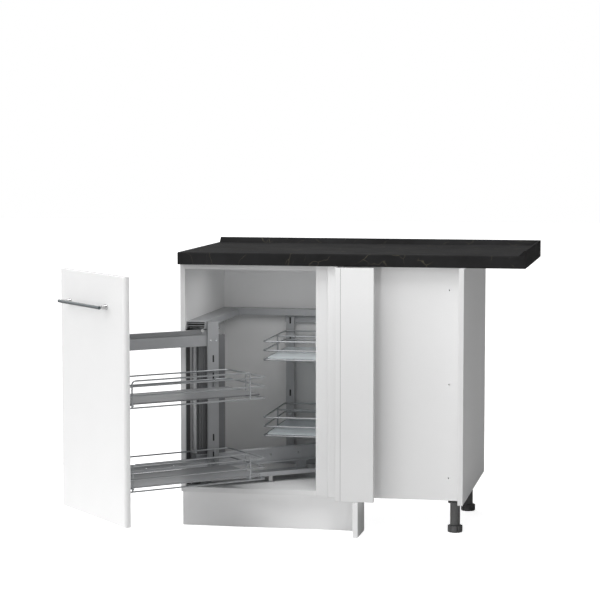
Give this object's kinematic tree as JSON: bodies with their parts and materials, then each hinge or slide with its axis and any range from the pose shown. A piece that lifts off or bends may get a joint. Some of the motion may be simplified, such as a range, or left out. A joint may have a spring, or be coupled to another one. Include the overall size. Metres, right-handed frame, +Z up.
{
  "type": "corner base cabinet",
  "caption": "Corner kitchen base cabinet with a dark worktop, blind front, white gloss pull-out door and a swing-out corner fitting with wire baskets.",
  "frame": {"origin": "centre of the sole of the front left levelling foot, on the floor", "axes": "+X along the worktop to the right, +Y from the front to the wall, +Z up"},
  "size_m": [1.3954, 1.1149, 0.884],
  "materials": {
    "white_gloss": "white gloss foil",
    "white_board": "white melamine-faced board",
    "dark_laminate": "anthracite stone-look laminate with faint light veins",
    "foot_plastic": "dark grey plastic",
    "fitting_steel": "silver-grey powder coat",
    "basket_steel": "silver-grey plated wire and sheet",
    "dark_steel": "dark grey powder coat",
    "zinc_steel": "pale zinc",
    "chrome": "bright chrome",
    "glide_plastic": "black plastic",
    "light_plastic": "pale grey plastic",
    "screw_steel": "bright zinc"
  },
  "bodies": {
    "cabinet": {"arc_track": "fitting_steel", "back_floor_guide": "fitting_steel", "back_panel": "white_board", "back_top_guide": "fitting_steel", "base_plate": "fitting_steel", "base_plate_screws": "screw_steel", "blind_front_panel": "white_board", "filler_door_strip": "white_gloss", "filler_front_strip": "white_gloss", "filler_return": "white_gloss", "floor_panel": "white_board", "foot_columns": "foot_plastic", "foot_sockets": "foot_plastic", "front_top_rail": "white_board", "left_side_panel": "white_board", "left_top_guide": "fitting_steel", "pivot_column": "zinc_steel", "plinth_front": "white_gloss", "plinth_return": "white_gloss", "rear_top_rail": "white_board", "right_side_panel": "white_board", "thrust_bush": "glide_plastic", "wall_upstand": "dark_laminate", "worktop": "dark_laminate"},
    "swing_frame": {"lower_sleeve": "fitting_steel", "upper_sleeve": "fitting_steel", "lower_rail": "fitting_steel", "upper_rail": "fitting_steel", "swing_upright": "dark_steel", "base_sheet": "fitting_steel", "rail_riser": "fitting_steel", "support_glide": "light_plastic"},
    "front_pullout": {"door_brackets": "fitting_steel", "door_panel": "white_gloss", "front_basket_tray_lower": "basket_steel", "front_basket_tray_upper": "basket_steel", "front_basket_wires_lower": "basket_steel", "front_basket_wires_upper": "basket_steel", "handle_bar": "chrome", "handle_posts": "chrome", "lower_arm": "fitting_steel", "post_screws": "screw_steel", "pullout_post_front": "fitting_steel", "pullout_post_rear": "fitting_steel", "upper_arm": "fitting_steel", "upper_runner": "fitting_steel"},
    "rear_carriage": {"carriage_bottom_beam": "fitting_steel", "carriage_bottom_glides": "glide_plastic", "carriage_post_left": "fitting_steel", "carriage_post_right": "fitting_steel", "carriage_top_beam": "fitting_steel", "carriage_top_glides": "glide_plastic", "rear_basket_tray_lower": "basket_steel", "rear_basket_tray_upper": "basket_steel", "rear_basket_wires_lower": "basket_steel", "rear_basket_wires_upper": "basket_steel"},
    "foot_pad_front_left_body": {"foot_pad_front_left": "foot_plastic"},
    "foot_pad_front_right_body": {"foot_pad_front_right": "foot_plastic"},
    "foot_pad_rear_left_body": {"foot_pad_rear_left": "foot_plastic"},
    "foot_pad_rear_right_body": {"foot_pad_rear_right": "foot_plastic"}
  },
  "joints": [
    {"name": "front_swing", "type": "hinge", "parent": "cabinet", "child": "swing_frame", "pos_m": [-0.006, -0.016, 0.1], "axis": [0, 0, 1], "range_deg": [0, 48]},
    {"name": "front_pull", "type": "slide", "parent": "swing_frame", "child": "front_pullout", "axis": [-0.7431, -0.6691, 0], "range_m": [-0.3761, 0]},
    {"name": "rear_slide", "type": "slide", "parent": "cabinet", "child": "rear_carriage", "axis": [1, 0, 0], "range_m": [0, 0.2151]},
    {"name": "foot_turn_front_left", "type": "hinge", "parent": "cabinet", "child": "foot_pad_front_left_body", "pos_m": [0, 0, 0.01], "axis": [0, 0, 1], "continuous": true},
    {"name": "foot_turn_front_right", "type": "hinge", "parent": "cabinet", "child": "foot_pad_front_right_body", "pos_m": [0.82, 0, 0.01], "axis": [0, 0, 1], "continuous": true},
    {"name": "foot_turn_rear_left", "type": "hinge", "parent": "cabinet", "child": "foot_pad_rear_left_body", "pos_m": [0, 0.368, 0.01], "axis": [0, 0, 1], "continuous": true},
    {"name": "foot_turn_rear_right", "type": "hinge", "parent": "cabinet", "child": "foot_pad_rear_right_body", "pos_m": [0.82, 0.368, 0.01], "axis": [0, 0, 1], "continuous": true}
  ],
  "couplings": [
    {"joint": "front_pull", "follows": "front_swing", "m_per_rad": -0.44882},
    {"joint": "rear_slide", "follows": "front_swing", "m_per_rad": 0.25664}
  ]
}
